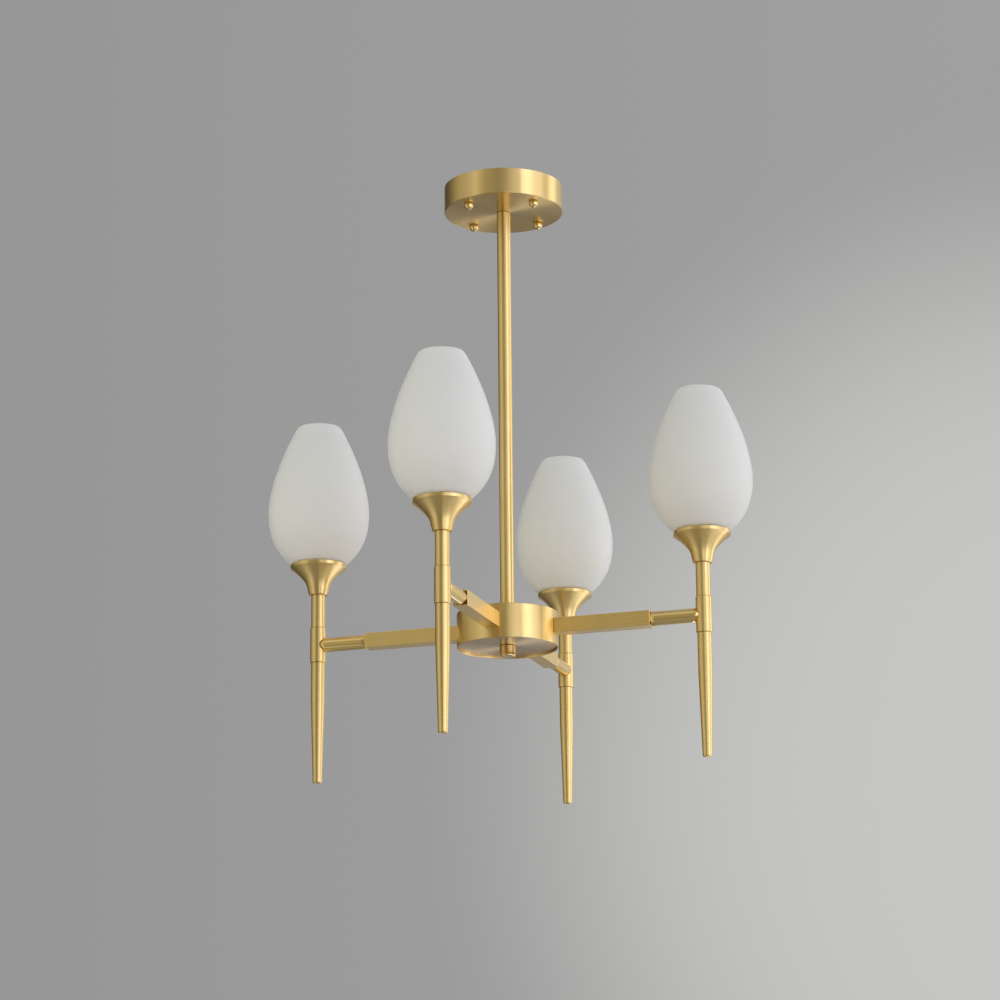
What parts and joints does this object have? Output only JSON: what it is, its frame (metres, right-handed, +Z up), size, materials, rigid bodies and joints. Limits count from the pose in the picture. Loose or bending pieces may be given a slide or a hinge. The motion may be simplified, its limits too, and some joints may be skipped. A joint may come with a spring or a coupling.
{
  "type": "multi arm chandelier",
  "caption": "Ceiling light: a rod from a round canopy carries a drum hub, with crossed arms that end in opal glass tulip shades on tapered brass stems.",
  "frame": {"origin": "where the fitting axis meets the ceiling: the centre of the top face of the ceiling bracket", "axes": "+Z up, along the hanging rod towards the ceiling; +X along arm 1 and +Y along arm 2"},
  "size_m": [0.4986, 0.4986, 0.6008],
  "materials": {
    "brushed_brass": "satin brushed and lacquered",
    "polished_brass": "polished",
    "zinc_steel": "zinc plated",
    "nylon": "moulded",
    "ceramic": "unglazed steatite",
    "bulb_glass": "frosted",
    "opal_glass": "satin etched opal"
  },
  "bodies": {
    "fixed_frame": {"arm_bar_1": "brushed_brass", "arm_bar_2": "brushed_brass", "arm_bar_3": "brushed_brass", "arm_bar_4": "brushed_brass", "arm_nut_1": "zinc_steel", "arm_nut_2": "zinc_steel", "arm_nut_3": "zinc_steel", "arm_nut_4": "zinc_steel", "arm_tube_1": "brushed_brass", "arm_tube_2": "brushed_brass", "arm_tube_3": "brushed_brass", "arm_tube_4": "brushed_brass", "canopy": "brushed_brass", "ceiling_bracket": "zinc_steel", "cup_1": "brushed_brass", "cup_2": "brushed_brass", "cup_3": "brushed_brass", "cup_4": "brushed_brass", "earth_screw": "polished_brass", "hanging_rod": "brushed_brass", "hub_lock_nut": "zinc_steel", "hub_nipple": "zinc_steel", "hub_shell": "brushed_brass", "lampholder_1": "ceramic", "lampholder_2": "ceramic", "lampholder_3": "ceramic", "lampholder_4": "ceramic", "neck_tube_1": "brushed_brass", "neck_tube_2": "brushed_brass", "neck_tube_3": "brushed_brass", "neck_tube_4": "brushed_brass", "rod_nipple": "zinc_steel", "rod_nut": "zinc_steel", "spike_1": "brushed_brass", "spike_2": "brushed_brass", "spike_3": "brushed_brass", "spike_4": "brushed_brass", "tee_sleeve_1": "brushed_brass", "tee_sleeve_2": "brushed_brass", "tee_sleeve_3": "brushed_brass", "tee_sleeve_4": "brushed_brass", "terminal_block": "nylon"},
    "shade_1": {"glass_shade_1": "opal_glass"},
    "ring_1": {"clamp_ring_1": "zinc_steel"},
    "bulb_1": {"bulb_1": "bulb_glass"},
    "nut_1": {"ball_nut_1": "polished_brass"},
    "shade_2": {"glass_shade_2": "opal_glass"},
    "ring_2": {"clamp_ring_2": "zinc_steel"},
    "bulb_2": {"bulb_2": "bulb_glass"},
    "nut_2": {"ball_nut_2": "polished_brass"},
    "shade_3": {"glass_shade_3": "opal_glass"},
    "ring_3": {"clamp_ring_3": "zinc_steel"},
    "bulb_3": {"bulb_3": "bulb_glass"},
    "nut_3": {"ball_nut_3": "polished_brass"},
    "shade_4": {"glass_shade_4": "opal_glass"},
    "ring_4": {"clamp_ring_4": "zinc_steel"},
    "bulb_4": {"bulb_4": "bulb_glass"},
    "nut_4": {"ball_nut_4": "polished_brass"},
    "cover": {"hub_cover": "brushed_brass"},
    "finial": {"finial_nut": "polished_brass"}
  },
  "joints": [
    {"name": "shade_1_lift", "type": "slide", "parent": "fixed_frame", "child": "shade_1", "axis": [0, 0, 1], "range_m": [0, 0.12]},
    {"name": "ring_1_lift", "type": "slide", "parent": "shade_1", "child": "ring_1", "axis": [0, 0, 1], "range_m": [0, 0.15]},
    {"name": "bulb_1_pull", "type": "slide", "parent": "fixed_frame", "child": "bulb_1", "axis": [0, 0, 1], "range_m": [0, 0.16]},
    {"name": "ball_nut_1_off", "type": "slide", "parent": "fixed_frame", "child": "nut_1", "axis": [0, 0, -1], "range_m": [0, 0.012]},
    {"name": "shade_2_lift", "type": "slide", "parent": "fixed_frame", "child": "shade_2", "axis": [0, 0, 1], "range_m": [0, 0.12]},
    {"name": "ring_2_lift", "type": "slide", "parent": "shade_2", "child": "ring_2", "axis": [0, 0, 1], "range_m": [0, 0.15]},
    {"name": "bulb_2_pull", "type": "slide", "parent": "fixed_frame", "child": "bulb_2", "axis": [0, 0, 1], "range_m": [0, 0.16]},
    {"name": "ball_nut_2_off", "type": "slide", "parent": "fixed_frame", "child": "nut_2", "axis": [0, 0, -1], "range_m": [0, 0.012]},
    {"name": "shade_3_lift", "type": "slide", "parent": "fixed_frame", "child": "shade_3", "axis": [0, 0, 1], "range_m": [0, 0.12]},
    {"name": "ring_3_lift", "type": "slide", "parent": "shade_3", "child": "ring_3", "axis": [0, 0, 1], "range_m": [0, 0.15]},
    {"name": "bulb_3_pull", "type": "slide", "parent": "fixed_frame", "child": "bulb_3", "axis": [0, 0, 1], "range_m": [0, 0.16]},
    {"name": "ball_nut_3_off", "type": "slide", "parent": "fixed_frame", "child": "nut_3", "axis": [0, 0, -1], "range_m": [0, 0.012]},
    {"name": "shade_4_lift", "type": "slide", "parent": "fixed_frame", "child": "shade_4", "axis": [0, 0, 1], "range_m": [0, 0.12]},
    {"name": "ring_4_lift", "type": "slide", "parent": "shade_4", "child": "ring_4", "axis": [0, 0, 1], "range_m": [0, 0.15]},
    {"name": "bulb_4_pull", "type": "slide", "parent": "fixed_frame", "child": "bulb_4", "axis": [0, 0, 1], "range_m": [0, 0.16]},
    {"name": "ball_nut_4_off", "type": "slide", "parent": "fixed_frame", "child": "nut_4", "axis": [0, 0, -1], "range_m": [0, 0.012]},
    {"name": "hub_cover_drop", "type": "slide", "parent": "fixed_frame", "child": "cover", "axis": [0, 0, -1], "range_m": [0, 0.005]},
    {"name": "finial_spin", "type": "hinge", "parent": "cover", "child": "finial", "pos_m": [0, 0, -0.4779], "axis": [0, 0, -1], "range_deg": [0, 1800]}
  ],
  "couplings": [
    {"joint": "finial_spin", "follows": "hub_cover_drop", "rad_per_m": 6283}
  ]
}
